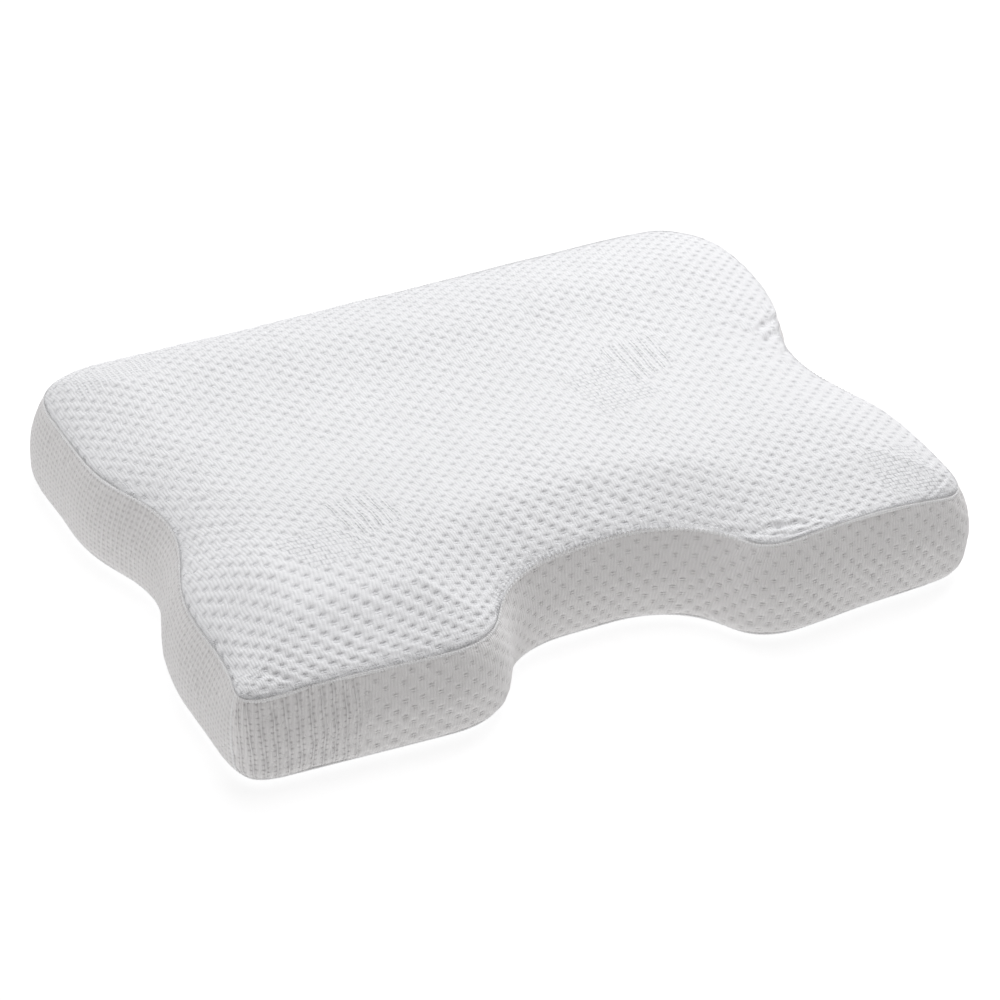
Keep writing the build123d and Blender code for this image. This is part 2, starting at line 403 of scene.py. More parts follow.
def settle(top, wall, floor):
    """The cover as one closed coarse cloth, inflated against its seams.

    Returns how far each coarse vertex of the top and the wall moved.
    """
    top_c = top[::COARSE, ::COARSE]
    wall_c = wall[::COARSE, ::COARSE]
    floor_c = floor[:: COARSE // 2, :: COARSE // 2]
    rows, cols = top_c.shape[:2]
    n_top = rows * cols
    ring_index = ring_of(np.arange(n_top).reshape(rows, cols))
    w_rows, w_cols = wall_c.shape[:2]
    wall_index = n_top + np.arange((w_rows - 1) * w_cols).reshape(w_rows - 1, w_cols)
    wall_index = np.concatenate([wall_index, ring_index[None]])
    n_wall = (w_rows - 1) * w_cols
    floor_index = n_top + n_wall + np.arange(n_top).reshape(rows, cols)
    verts = np.concatenate([part.reshape(-1, 3) for part in (top_c, wall_c[:-1], floor_c)])
    top_f = grid_faces(rows, cols)
    wall_f = wall_index.ravel()[grid_faces(w_rows, w_cols, wrap=True)]
    floor_f = grid_faces(rows, cols, flip=True) + n_top + n_wall
    # The underside's rim is the wall's lowest row.
    same = np.arange(len(verts))
    same[ring_of(floor_index)] = wall_index[0]
    faces = same[np.concatenate([top_f, wall_f, floor_f])]
    used = np.unique(faces)
    renum = np.full(len(verts), -1)
    renum[used] = np.arange(len(used))
    cloth = mesh_object("cloth_form", verts[used], renum[faces])
    pin = np.full(len(verts), PIN_COVER)
    pin[wall_index[:3].ravel()] = np.repeat(PIN_LOW_ROWS, w_cols)
    pin[floor_index.ravel()] = 1.0
    flat = zip_share(wall_c[..., 0], wall_c[..., 1])
    pin[wall_index.ravel()] = np.maximum(pin[wall_index.ravel()], flat.ravel())
    pin[ring_index] = np.maximum(pin[ring_index], PIN_SEAM)
    shrink = np.zeros(len(verts))
    shrink[ring_index] = 1.0
    for name, weight in (("pin", pin), ("shrink", shrink)):
        group = cloth.vertex_groups.new(name=name)
        for value in np.unique(np.round(weight[used], 2)):
            members = np.nonzero(np.round(weight[used], 2) == value)[0]
            group.add(members.tolist(), float(value), "REPLACE")
    mod = cloth.modifiers.new("cloth", "CLOTH")
    c = mod.settings
    c.quality = 6
    c.mass = 0.25
    c.tension_stiffness = 18
    c.compression_stiffness = 18
    c.shear_stiffness = 6
    c.bending_stiffness = 1.2
    c.air_damping = 2
    c.use_pressure = True
    c.uniform_pressure_force = 3.0
    c.effector_weights.gravity = 0
    c.vertex_group_mass = "pin"
    c.pin_stiffness = 1.0
    c.vertex_group_shrink = "shrink"
    c.shrink_min = -0.004
    c.shrink_max = 0.02
    scene = bpy.context.scene
    mod.point_cache.frame_start = 1
    mod.point_cache.frame_end = LAST_FRAME + 2
    for f in range(1, LAST_FRAME + 1):
        scene.frame_set(f)
    depsgraph = bpy.context.evaluated_depsgraph_get()
    done = cloth.evaluated_get(depsgraph).to_mesh()
    co = np.empty(len(done.vertices) * 3, np.float32)
    done.vertices.foreach_get("co", co)
    co = co.reshape(-1, 3).astype(float)
    scene.frame_set(1)
    bpy.data.objects.remove(cloth, do_unlink=True)
    moved = np.zeros((len(verts), 3))
    moved[used] = co - verts[used]
    moved = moved[same]
    size = np.linalg.norm(moved, axis=1, keepdims=True)
    moved *= np.minimum(1, MOST_MOVED / np.maximum(size, 1e-9))
    return moved[:n_top].reshape(rows, cols, 3), moved[wall_index]


def finer(values, factor, axis, wrap=False):
    """Catmull-Rom interpolation of a grid along one axis."""
    v = np.moveaxis(values, axis, 0)
    n = len(v)
    last = n if wrap else n - 1
    at = np.arange(last * factor + (0 if wrap else 1)) / factor
    i = np.minimum(at.astype(int), last - 1)
    t = (at - i).reshape((-1,) + (1,) * (v.ndim - 1))

    def pick(k):
        return v[k % n] if wrap else v[np.clip(k, 0, n - 1)]

    a, b, c, d = pick(i - 1), pick(i), pick(i + 1), pick(i + 2)
    square = (2 * a - 5 * b + 4 * c - d) * t**2
    cube = (3 * b - a - 3 * c + d) * t**3
    return np.moveaxis(0.5 * (2 * b + (c - a) * t + square + cube), 0, axis)


def normals_of(grid, wrap=False):
    """Unit normals of a grid of points."""
    across = np.gradient(grid, axis=0)
    if wrap:
        along = (np.roll(grid, -1, axis=1) - np.roll(grid, 1, axis=1)) / 2
    else:
        along = np.gradient(grid, axis=1)
    n = np.cross(across, along)
    return n / np.maximum(np.linalg.norm(n, axis=-1, keepdims=True), 1e-12)


# ---- knit -------------------------------------------------------------------
def cell(u, v):
    """Distances to the nearest dimple of the half-drop lattice, along u and v."""
    p, q = u / PITCH_X, v / PITCH_Y
    a = (p - np.round(p), q - np.round(q))
    b = (p - 0.5 - np.round(p - 0.5), q - 0.5 - np.round(q - 0.5))
    near = (a[0] ** 2 + a[1] ** 2) < (b[0] ** 2 + b[1] ** 2)
    du = np.where(near, a[0], b[0]) * PITCH_X
    dv = np.where(near, a[1], b[1]) * PITCH_Y
    return du, dv


def quilt(u, v, depth):
    """Height of the quilted knit: a puffy ground with one dimple a cell."""
    du, dv = cell(u, v)
    pit = np.exp(-((du / 0.0032) ** 2) - (dv / 0.0022) ** 2)
    puff = 1 - np.exp(-((du / 0.0050) ** 2) - (dv / 0.0044) ** 2)
    return depth * (0.5 * puff - pit)


def inside(x, y, corners):
    """1 inside a convex quadrilateral, 0 outside, with an edge about 2 mm soft."""
    result = np.ones_like(x)
    corners = np.array(corners)
    middle = corners.mean(0)
    for a, b in zip(corners, np.roll(corners, -1, axis=0)):
        n = np.array([b[1] - a[1], a[0] - b[0]])
        n = n / np.linalg.norm(n)
        if (middle - a) @ n < 0:
            n = -n
        side = (x - a[0]) * n[0] + (y - a[1]) * n[1]
        result = np.minimum(result, smooth_step(-0.001, 0.001, side))
    return result


# Where the figures of the jacquard lie on the top panel, as plan corners.
BRICKS = [
    [(-0.219, -0.075), (-0.174, -0.069), (-0.152, -0.108), (-0.203, -0.115)],
    [(0.072, 0.032), (0.117, 0.040), (0.132, -0.014), (0.076, -0.025)],
    [(0.221, -0.142), (0.269, -0.139), (0.266, -0.190), (0.221, -0.182)],
]
LADDERS = [
    [(-0.169, -0.048), (-0.128, -0.043), (-0.118, -0.083), (-0.159, -0.092)],
    [(0.118, 0.060), (0.162, 0.060), (0.162, 0.019), (0.122, 0.008)],
]
DOTS = [
    [(-0.262, 0.172), (-0.196, 0.182), (-0.196, 0.160), (-0.262, 0.148)],
]


def crease(x, y, a, b, width, depth):
    """A soft groove along the line from a to b, fading out at both ends."""
    a, b = np.array(a), np.array(b)
    run = b - a
    t = ((x - a[0]) * run[0] + (y - a[1]) * run[1]) / (run @ run)
    off = np.abs((x - a[0]) * -run[1] + (y - a[1]) * run[0]) / np.linalg.norm(run)
    fade = smooth_step(-0.15, 0.3, t) * smooth_step(1.15, 0.7, t)
    lip = 0.5 * np.exp(-(((off - 1.8 * width) / width) ** 2))
    return -depth * fade * (np.exp(-((off / width) ** 2)) - lip)


# From, to, half width and depth of each fold in the top panel.
CREASES = [
    ((0.284, 0.058), (0.240, 0.034), 0.0030, 0.0016),
    ((0.280, 0.042), (0.234, 0.018), 0.0028, 0.0013),
    ((0.272, 0.022), (0.236, -0.004), 0.0026, 0.0009),
    ((0.100, -0.178), (0.152, -0.190), 0.0028, 0.0017),
    ((0.030, -0.135), (0.044, -0.112), 0.0035, 0.0008),
    ((-0.250, 0.008), (-0.222, 0.002), 0.0032, 0.0010),
]


def mottle(x, y, z):
    """Slow unevenness of the padding, a few tenths of a millimetre."""
    total = np.zeros_like(x)
    for _ in range(9):
        wave = RNG.normal(size=3)
        wave = wave / np.linalg.norm(wave) * 2 * math.pi / RNG.uniform(0.045, 0.11)
        total = total + np.sin(wave[0] * x + wave[1] * y + wave[2] * z + RNG.uniform(0, 6.28))
    return 0.00012 * total


def top_fabric(x, y, d, away):
    """Place of each point of the top in the flat knit, which follows the roll of the rim."""
    step = 0.0005
    run = np.arange(0, 0.09, step)
    slope = np.gradient(0.024 * rim_rise(run, 0.42, 0.007), step)
    spare = np.cumsum((np.sqrt(1 + slope**2) - 1)[::-1])[::-1] * step
    length = np.maximum(np.linalg.norm(away, axis=-1), 1e-6)
    push = np.interp(d, run, spare) / length
    u = x - away[..., 0] * push
    v = y - away[..., 1] * push
    # Measured on the photograph: stretched along the wings, tighter fore and aft.
    u2 = 0.99 * u - 0.085 * v
    v2 = 1.02 * v + 0.027 * u + 2.6 * v**3
    # The knit was pulled askew over the front left lobe when the cover went on.
    cx, cy = u + 0.205, v + 0.145
    pull = np.exp(-(cx**2 + cy**2) / 0.085**2)
    u2 = u2 - pull * (0.20 * cx + 0.24 * cy)
    v2 = v2 - pull * 0.30 * cy
    drift = 0.0015 * np.sin(x * 9 + 1.0) + 0.001 * np.sin(y * 17 + x * 6)
    return u2 + 0.0010 * np.sin(y * 14 + 0.5), v2 + drift


def groove(distance, width, depth):
    return -depth * np.exp(-((distance / width) ** 2))


def set_floats(obj, name, values):
    attribute = obj.data.attributes.new(name, "FLOAT", "POINT")
    attribute.data.foreach_set("value", np.ascontiguousarray(values, np.float32).ravel())


# ---- materials --------------------------------------------------------------
# What every piece of the cover carries at its points: its place in the flat knit
# and how much of each figure is there.
FABRIC = ("fabric_u", "fabric_v", "brick", "ladder", "dots")


class Field:
    """A number that varies over a surface, worked out by Math nodes."""

    def __init__(self, tree, socket):
        self.tree = tree
        self.socket = socket

    def math(self, operation, *others):
        node = self.tree.nodes.new("ShaderNodeMath")
        node.operation = operation
        for k, value in enumerate((self,) + others):
            if isinstance(value, Field):
                self.tree.links.new(value.socket, node.inputs[k])
            else:
                node.inputs[k].default_value = value
        return Field(self.tree, node.outputs[0])

    def __add__(self, other):
        return self.math("ADD", other)

    def __sub__(self, other):
        return self.math("SUBTRACT", other)

    def __mul__(self, other):
        return self.math("MULTIPLY", other)

    def __truediv__(self, other):
        return self.math("DIVIDE", other)

    def off_nearest(self):
        """Signed distance to the nearest whole number."""
        return self - self.math("ROUND")

    def bell(self, width):
        return (self * self * (-1 / width**2)).math("EXPONENT")

    def wave(self):
        return (self * (2 * math.pi)).math("SINE")

    def step(self, low, high):
        node = self.tree.nodes.new("ShaderNodeMapRange")
        node.interpolation_type = "SMOOTHSTEP"
        self.tree.links.new(self.socket, node.inputs["Value"])
        node.inputs["From Min"].default_value = low
        node.inputs["From Max"].default_value = high
        return Field(self.tree, node.outputs["Result"])


def new_material(name, colour, roughness, **sockets):
    material = bpy.data.materials.new(name)
    material.use_nodes = True
    shader = material.node_tree.nodes["Principled BSDF"]
    shader.inputs["Base Color"].default_value = (*colour, 1)
    shader.inputs["Roughness"].default_value = roughness
    for socket, value in sockets.items():
        shader.inputs[socket.replace("_", " ")].default_value = value
    return material, material.node_tree, shader


def read_float(tree, name):
    node = tree.nodes.new("ShaderNodeAttribute")
    node.attribute_name = name
    return Field(tree, node.outputs["Fac"])


def noise(tree, scale, detail=2.0, rough=0.5):
    """Noise over the object's own coordinates; scale in cycles a metre."""
    coords = tree.nodes.new("ShaderNodeTexCoord")
    node = tree.nodes.new("ShaderNodeTexNoise")
    node.inputs["Scale"].default_value = scale
    node.inputs["Detail"].default_value = detail
    node.inputs["Roughness"].default_value = rough
    tree.links.new(coords.outputs["Object"], node.inputs["Vector"])
    return Field(tree, node.outputs["Fac"])


def paint(tree, shader, field, stops):
    """Base colour from a ramp over a field; stops are two (place, colour) pairs."""
    ramp = tree.nodes.new("ShaderNodeValToRGB")
    for element, (place, colour) in zip(ramp.color_ramp.elements, stops):
        element.position = place
        element.color = (*colour, 1)
    tree.links.new(field.socket, ramp.inputs["Fac"])
    tree.links.new(ramp.outputs["Color"], shader.inputs["Base Color"])


def bump(tree, shader, height, strength):
    """Relief from a height in millimetres."""
    node = tree.nodes.new("ShaderNodeBump")
    node.inputs["Strength"].default_value = strength
    node.inputs["Distance"].default_value = 0.001
    tree.links.new(height.socket, node.inputs["Height"])
    tree.links.new(node.outputs["Normal"], shader.inputs["Normal"])


def knit_material(name, light, shade, dash=(2.3, 1.1), contrast=1.0):
    """Quilted jacquard knit: dimples, brick and ladder figures, fine wales.

    dash is the half width and half height of the dark dashes of a dimple, in mm. The hollows of
    every figure are painted darker as painted shade, and the bar in each dimple lighter as a painted
    highlight.
    """
    material, tree, shader = new_material(name, light, 0.86, Sheen_Weight=0.22, Sheen_Roughness=0.45)
    shader.inputs["Specular IOR Level"].default_value = 0.28
    u, v, brick, ladder, dots = (read_float(tree, key) for key in FABRIC)
    wander = noise(tree, 45.0, 1.0) - 0.5
    patchy = noise(tree, 160.0, 1.0).step(0.22, 0.50)
    p, q = u / PITCH_X, v / PITCH_Y
    pits, glints = None, None
    for shift in (0.0, 0.5):
        du = (p - shift).off_nearest() * (PITCH_X * 1000)
        dv = (q - shift).off_nearest() * (PITCH_Y * 1000)
        # Each dimple: two short sunken dashes painted darker, painted shade, with a small raised bar
        # between them painted lighter, a painted highlight (the glints).
        pit = du.bell(dash[0]) * ((dv - 0.9).bell(dash[1]) + (dv + 1.3).bell(dash[1] * 0.6) * 0.7)
        glint = du.bell(dash[0] * 0.8) * (dv + 0.35).bell(0.5)
        pits = pit if pits is None else pits + pit
        glints = glint if glints is None else glints + glint
    # Brick figure: a running bond of short raised bars; the grooves between the bars are sunk and
    # painted darker as painted shade. Distances in mm.
    bar_length, bar_height = BRICK[0] * 1000, BRICK[1] * 1000
    row = v / BRICK[1] + wander * 0.5
    odd = (row.math("ROUND") * 0.5).off_nearest().math("ABSOLUTE")
    joint = (u / BRICK[0] + odd).off_nearest() * bar_length
    lines = (row.off_nearest().math("ABSOLUTE") * bar_height - bar_height / 2).bell(0.55)
    bricks = (lines * 0.7 + joint.bell(0.6)).math("MINIMUM", 1.0) * patchy
    # Ladder figure: raised stripes with sunken rungs between them. The rungs and a line along each
    # stripe are painted darker as painted shade, and the ridge where stripes meet is painted lighter
    # as a painted highlight.
    across = u / LADDER[0] + wander * 0.35
    stripe = (across.off_nearest() * (LADDER[0] * 1000)).math("ABSOLUTE")
    rung = (v / LADDER[1] + across.math("ROUND") * 0.37 + wander).off_nearest() * (LADDER[1] * 1000)
    rungs = (stripe - 2.4).bell(1.0) * rung.bell(0.8) * patchy
    ladders = rungs * 1.2 + (stripe - 2.9).bell(0.5) * 0.65 - (stripe - 4.0).bell(0.7) * 0.75
    # Dotted figure: a close square grid of small dimples, painted darker as painted shade.
    dotted = (u / DOT[0]).off_nearest().bell(0.26) * (v / DOT[1]).off_nearest().bell(0.22)
    plain = (brick + ladder + dots).math("MINIMUM", 1.0) * -1.0 + 1.0
    marks = pits * plain + bricks * brick + ladders * ladder + dotted * dots * 1.1
    wales = (u * 415.0 + v * 40.0 + pits * 0.45 + wander * 1.6).wave()
    courses = (v * 640.0 + wander * 2.0).wave()
    fuzz = noise(tree, 1500.0, 2.0, 0.7)
    height = wales * 0.16 + courses * 0.03 + fuzz * 0.10 - marks * 0.45 + glints * plain * 0.35
    bump(tree, shader, height, 0.9)
    # The hollows of the figures (marks) darken the colour as painted shade and the glints lighten it
    # as a painted highlight; the noise terms are random tone.
    tone = marks * (0.53 * contrast) + wales * 0.075 + (noise(tree, 9.0, 2.0) - 0.5) * 0.12
    tone = tone - glints * plain * 0.40 + (noise(tree, 700.0, 2.0, 0.6) - 0.5) * 0.12 + 0.12
    paint(tree, shader, tone, [(0.0, light), (1.0, shade)])
    return material


def stitched_material(name, light, shade):
    """Folded edge of the knit with its overlock stitches."""
    material, tree, shader = new_material(name, light, 0.8, Sheen_Weight=0.2)
    along = read_float(tree, "along")
    stitch = (along / STITCH).wave()
    height = stitch * 0.14 + noise(tree, 1400.0, 2.0) * 0.15
    bump(tree, shader, height, 0.8)
    # Each stitch is painted lighter on its crest and darker between stitches: painted light and
    # shade of the stitch relief.
    tone = stitch * -0.28 + noise(tree, 500.0, 2.0) * 0.4 + 0.25
    paint(tree, shader, tone, [(0.0, light), (1.0, shade)])
    return material


def plain_cloth(name, light, shade, pitch):
    """Fine plain knit or woven tape; pitch in metres."""
    material, tree, shader = new_material(name, light, 0.88, Sheen_Weight=0.15)
    coords = tree.nodes.new("ShaderNodeTexCoord")
    split = tree.nodes.new("ShaderNodeSeparateXYZ")
    tree.links.new(coords.outputs["Object"], split.inputs[0])
    x, y, z = (Field(tree, split.outputs[k]) for k in range(3))
    weave = (x / pitch).wave() * (z / pitch + y / pitch).wave()
    height = weave * 0.12 + noise(tree, 900.0, 2.0) * 0.08
    bump(tree, shader, height, 0.8)
    tone = weave * 0.22 + noise(tree, 60.0, 3.0) * 0.35 + 0.2
    paint(tree, shader, tone, [(0.0, light), (1.0, shade)])
    return material


def foam_material(name):
    """Slow-recovery foam: matt, faintly yellow, with fine open pores."""
    material, tree, shader = new_material(name, (0.86, 0.82, 0.70), 0.95)
    coords = tree.nodes.new("ShaderNodeTexCoord")
    pores = tree.nodes.new("ShaderNodeTexVoronoi")
    pores.inputs["Scale"].default_value = 900.0
    tree.links.new(coords.outputs["Object"], pores.inputs["Vector"])
    pore = Field(tree, pores.outputs["Distance"]).step(0.0, 0.5)
    bump(tree, shader, pore * 0.25, 0.7)
    # The pores are painted darker towards their middles: painted shade in the pores.
    paint(tree, shader, pore, [(0.0, (0.66, 0.60, 0.47)), (0.5, (0.88, 0.83, 0.70))])
    return material


def enamel_material(name, light, shade, metallic, roughness):
    """Painted die-cast metal or moulded plastic with fine handling marks."""
    material, tree, shader = new_material(name, light, roughness, Metallic=metallic)
    grain = noise(tree, 2600.0, 3.0, 0.6)
    wear = noise(tree, 160.0, 3.0, 0.6)
    bump(tree, shader, grain * 0.03 + wear * 0.02, 0.5)
    paint(tree, shader, wear, [(0.3, light), (0.75, shade)])
    return material


WHITE = (0.905, 0.908, 0.920)
TOP_KNIT = knit_material("top_knit", WHITE, (0.60, 0.605, 0.625))
# The border uses the same knit as the top with a darker, warmer base colour; the darkening is
# painted shade of the upright walls.
WARM, WARM_SHADE = (0.85, 0.838, 0.835), (0.56, 0.545, 0.545)
BORDER_KNIT = knit_material("border_knit", WARM, WARM_SHADE, (1.9, 0.8))
UNDER, UNDER_SHADE = (0.885, 0.886, 0.893), (0.60, 0.60, 0.61)
BOTTOM_KNIT = knit_material("bottom_knit", UNDER, UNDER_SHADE, (2.0, 0.9), 0.9)
WELT = stitched_material("seam_welt", (0.93, 0.93, 0.932), (0.80, 0.80, 0.803))
LINER = plain_cloth("liner_jersey", (0.90, 0.90, 0.89), (0.74, 0.74, 0.73), 0.0011)
FOAM = foam_material("memory_foam")
TAPE = plain_cloth("zip_tape", (0.90, 0.90, 0.90), (0.62, 0.62, 0.63), 0.0008)
COIL = enamel_material("zip_coil", (0.88, 0.88, 0.88), (0.78, 0.78, 0.79), 0.0, 0.35)
STOP = enamel_material("zip_stop", (0.74, 0.74, 0.75), (0.60, 0.60, 0.61), 1.0, 0.32)
SLIDER = enamel_material("zip_slider", (0.90, 0.90, 0.90), (0.80, 0.80, 0.80), 0.0, 0.28)


def finish_piece(obj, material, body="pillow", stands_for=()):
    obj.data.materials.clear()
    obj.data.materials.append(material)
    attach(obj, body)
    if stands_for:
        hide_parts(*stands_for)
    return obj


# ---- the cover --------------------------------------------------------------
# The zip's slot and the ends of the border pieces fall on columns of the ring.
ZIP_LEFT = int(np.argmin(np.abs(RING[:NX, 0] + ZIP_HALF)))
ZIP_RIGHT = int(np.argmin(np.abs(RING[:NX, 0] - ZIP_HALF)))
RING[ZIP_LEFT, 0] = -ZIP_HALF
RING[ZIP_RIGHT, 0] = ZIP_HALF
CORNER_AT = (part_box("corner_seam")[0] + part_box("corner_seam")[1]) / 2
TO_CORNER = (RING[:, 0] - CORNER_AT.x) ** 2 + (RING[:, 1] - CORNER_AT.y) ** 2
CORNER_COLUMNS = 9        # how far the stuffed cover carries that seam round the corner
CORNER = int(np.argmin(TO_CORNER)) + CORNER_COLUMNS
FLAT = zip_share(RING[:, 0], RING[:, 1])

top, seam_distance, away = top_form()
wall = wall_form()
wall[-1] = ring_of(top)
floor = floor_form()
top_moved, wall_moved = settle(top, wall, floor)
top = top + finer(finer(top_moved, COARSE, 0), COARSE, 1)
wall_moved = finer(finer(wall_moved, COARSE, 0), COARSE, 1, wrap=True)
wall = wall + wall_moved * (1 - FLAT)[None, :, None]
wall[-1] = ring_of(top)

top_soft, wall_soft, floor_soft = top.copy(), wall.copy(), floor.copy()
top_normal = normals_of(top)
wall_normal = normals_of(wall, wrap=True)
floor_normal = -normals_of(floor)

# Fabric places, then relief along the normals.
X, Y, Z = top[..., 0], top[..., 1], top[..., 2]
top_u, top_v = top_fabric(X, Y, seam_distance, away)
top_brick = sum(inside(X, Y, q) for q in BRICKS)
top_ladder = sum(inside(X, Y, q) for q in LADDERS)
top_dots = sum(inside(X, Y, q) for q in DOTS)
figure = np.clip(top_brick + top_ladder + top_dots, 0, 1)
near_seam = smooth_step(0.0005, 0.0085, seam_distance)
depth = 0.00060 + 0.00032 * smooth_step(0.06, -0.14, Y) * smooth_step(0.16, -0.08, X)
relief = quilt(top_u, top_v, depth) * (1 - 0.8 * figure) * near_seam
relief = relief + mottle(X, Y, Z) + sum(crease(X, Y, *fold) for fold in CREASES)
relief = relief + groove(seam_distance, 0.0011, 0.00015)
top = top + top_normal * relief[..., None]

wall_u = np.broadcast_to(ALONG[None], wall.shape[:2])
wall_v = wall[..., 2] * 1.08 + 0.0015 * np.sin(wall_u * 21)
to_top = wall[-1:, :, 2] - wall[..., 2]
to_floor = wall[..., 2] - FLOOR_SEAM_Z
past_corner = ALONG[None] - ALONG[CORNER]
# The front border starts at the corner with the ladder figure.
wall_ladder = smooth_step(-0.104, -0.078, past_corner) * smooth_step(0.0, -0.003, past_corner)
wall_ladder = np.broadcast_to(wall_ladder, wall.shape[:2])
# The left border is cut from the part of the knit with the dotted figure.
wall_dots = smooth_step(-0.001, 0.002, past_corner) * smooth_step(0.21, 0.18, wall[..., 1])
wall_dots = wall_dots * (wall[..., 0] < 0)
edge = smooth_step(0.0, 0.006, to_top) * smooth_step(0.0, 0.005, to_floor)
slot_middle, slot_half = (SLOT[0] + SLOT[1]) / 2, (SLOT[1] - SLOT[0]) / 2
at_slot = smooth_step(0.0, 0.004, np.abs(wall[..., 2] - slot_middle) - slot_half)
on_zip = FLAT[None] * (1 - at_slot)
wall_figure = np.clip(wall_ladder + wall_dots, 0, 1)
relief = quilt(wall_u, wall_v, 0.00060) * (1 - 0.85 * wall_figure) * edge * (1 - on_zip)
relief = relief + mottle(wall[..., 0], wall[..., 1], wall[..., 2]) * (1 - FLAT)[None]
relief = relief + groove(to_top, 0.0016, 0.0003) + groove(to_floor, 0.0020, 0.0005)
for column in (CORNER, ZIP_LEFT, ZIP_RIGHT):
    relief = relief + groove(ALONG[None] - ALONG[column], 0.0022, 0.0006)
# The relief stays low, and lowest beside the zip, where the slider passes.
relief = np.minimum(relief, 0.00045 * (1 - 0.6 * FLAT)[None])
wall = wall + wall_normal * relief[..., None]
wall[-1] = ring_of(top)

floor_u, floor_v = floor[..., 0], floor[..., 1]
floor_edge = rim_distance(floor_u, floor_v, RING + INWARD * FLOOR_INSET)[0]
floor_edge = smooth_step(0.0, 0.004, floor_edge) * smooth_step(0.0, 0.002, floor[..., 2])
relief = (quilt(floor_u, floor_v, 0.0008) - 0.0004) * floor_edge
floor = floor + floor_normal * relief[..., None]


def cover_piece(name, verts, fabric, flip=False):
    """Mesh of a grid of points with the values of FABRIC on them."""
    obj = mesh_object(name, verts, grid_faces(*verts.shape[:2], flip=flip))
    for key, values in zip(FABRIC, fabric):
        set_floats(obj, key, values)
    return obj


def border_piece(name, row0, row1, col0, col1):
    """Part of the wall from column col0 on to col1."""
    cols = np.arange(col0, col1 + 1)
    lap = (cols // COUNT)[None] * LOOP
    cols = cols % COUNT
    part = np.ix_(np.arange(row0, row1 + 1), cols)
    u, v = wall_u[part] + lap, wall_v[part]
    fabric = (u, v, np.zeros(u.shape), wall_ladder[part], wall_dots[part])
    return cover_piece(name, wall[part], fabric)


top_panel = cover_piece("top_panel", top, (top_u, top_v, top_brick, top_ladder, top_dots))
finish_piece(top_panel, TOP_KNIT, stands_for=["top_panel"])
none = np.zeros(floor_u.shape)
bottom_panel = cover_piece("bottom_panel", floor, (floor_u, floor_v, none, none, none), flip=True)
finish_piece(bottom_panel, BOTTOM_KNIT, stands_for=["bottom_panel"])
BORDERS = [
    ("wraparound_border", 0, WALL_ROWS, ZIP_RIGHT, CORNER),
    ("left_border", 0, WALL_ROWS, CORNER, COUNT + ZIP_LEFT),
    ("back_border_upper", SLOT_ROWS[1], WALL_ROWS, ZIP_LEFT, ZIP_RIGHT),
    ("back_border_lower", 0, SLOT_ROWS[0], ZIP_LEFT, ZIP_RIGHT),
]
for name, row0, row1, col0, col1 in BORDERS:
    piece = border_piece(name, row0, row1, col0, col1)
    finish_piece(piece, BORDER_KNIT, stands_for=[name])


# ---- seams ------------------------------------------------------------------
RIDGE_HIGH = 0.0008       # half height of a seam ridge
SUNK = 0.0004             # its centre line lies so far under the cover


def ridge(name, centres, sideways, outward, wide, high, stands_for):
    """A stitched ridge of flattened section swept along a seam."""
    gaps = np.linalg.norm(np.diff(centres, axis=0), axis=1)
    along = np.concatenate([[0], np.cumsum(gaps)])
    count = int(along[-1] / 0.0008)
    at = np.linspace(0, along[-1], count + 1)

    def fine(values):
        return np.stack([np.interp(at, along, values[:, k]) for k in range(3)], 1)

    c, s, o = fine(centres), fine(sideways), fine(outward)
    swell = 1 + 0.14 * np.sin(2 * math.pi * at / STITCH)
    turns = np.linspace(0, 2 * math.pi, 11)[:-1]
    ring = [
        c + s * (math.cos(a) * wide) + o * (math.sin(a) * high * swell)[:, None] for a in turns
    ]
    obj = mesh_object(name, np.stack(ring, 1), grid_faces(count + 1, len(ring), wrap=True))
    set_floats(obj, "along", np.repeat(at, len(ring)))
    return finish_piece(obj, WELT, stands_for=stands_for)


def closed_run(values):
    return np.concatenate([values, values[:1]])


def unit(v):
    return v / np.maximum(np.linalg.norm(v, axis=-1, keepdims=True), 1e-12)


down_wall = unit(wall_soft[-2] - wall_soft[-1])
top_out = unit(wall_normal[-2] * 0.85 + ring_of(top_normal) * 0.35)
centre = wall_soft[-1] + down_wall * 0.0015 - top_out * SUNK
ridge(
    "top_seam_welt",
    closed_run(centre),
    closed_run(down_wall),
    closed_run(top_out),
    0.00125,
    RIDGE_HIGH,
    ["top_seam_welt"],
)
up_wall = unit(wall_soft[1] - wall_soft[0])
centre = wall_soft[0] - wall_normal[0] * SUNK
ridge(
    "bottom_seam_welt",
    closed_run(centre),
    closed_run(up_wall),
    closed_run(wall_normal[0]),
    0.00115,
    RIDGE_HIGH,
    ["bottom_seam_welt"],
)


def upright(name, column, shift, stands_for):
    """Seam ridge up the wall, shift columns past the given one."""
    out = wall_normal[:, column]
    centre = wall_soft[:, (column + shift) % COUNT] - out * SUNK
    tangent = np.repeat(np.append(TANGENT[column], 0)[None], WALL_ROWS + 1, axis=0)
    return ridge(name, centre, tangent, out, 0.0011, RIDGE_HIGH, stands_for)


upright("corner_seam", CORNER, 1, ["corner_seam"])
upright("zipper_end_seam_left", ZIP_LEFT, 0, ["zipper_end_seams"])
upright("zipper_end_seam_right", ZIP_RIGHT, 0, [])


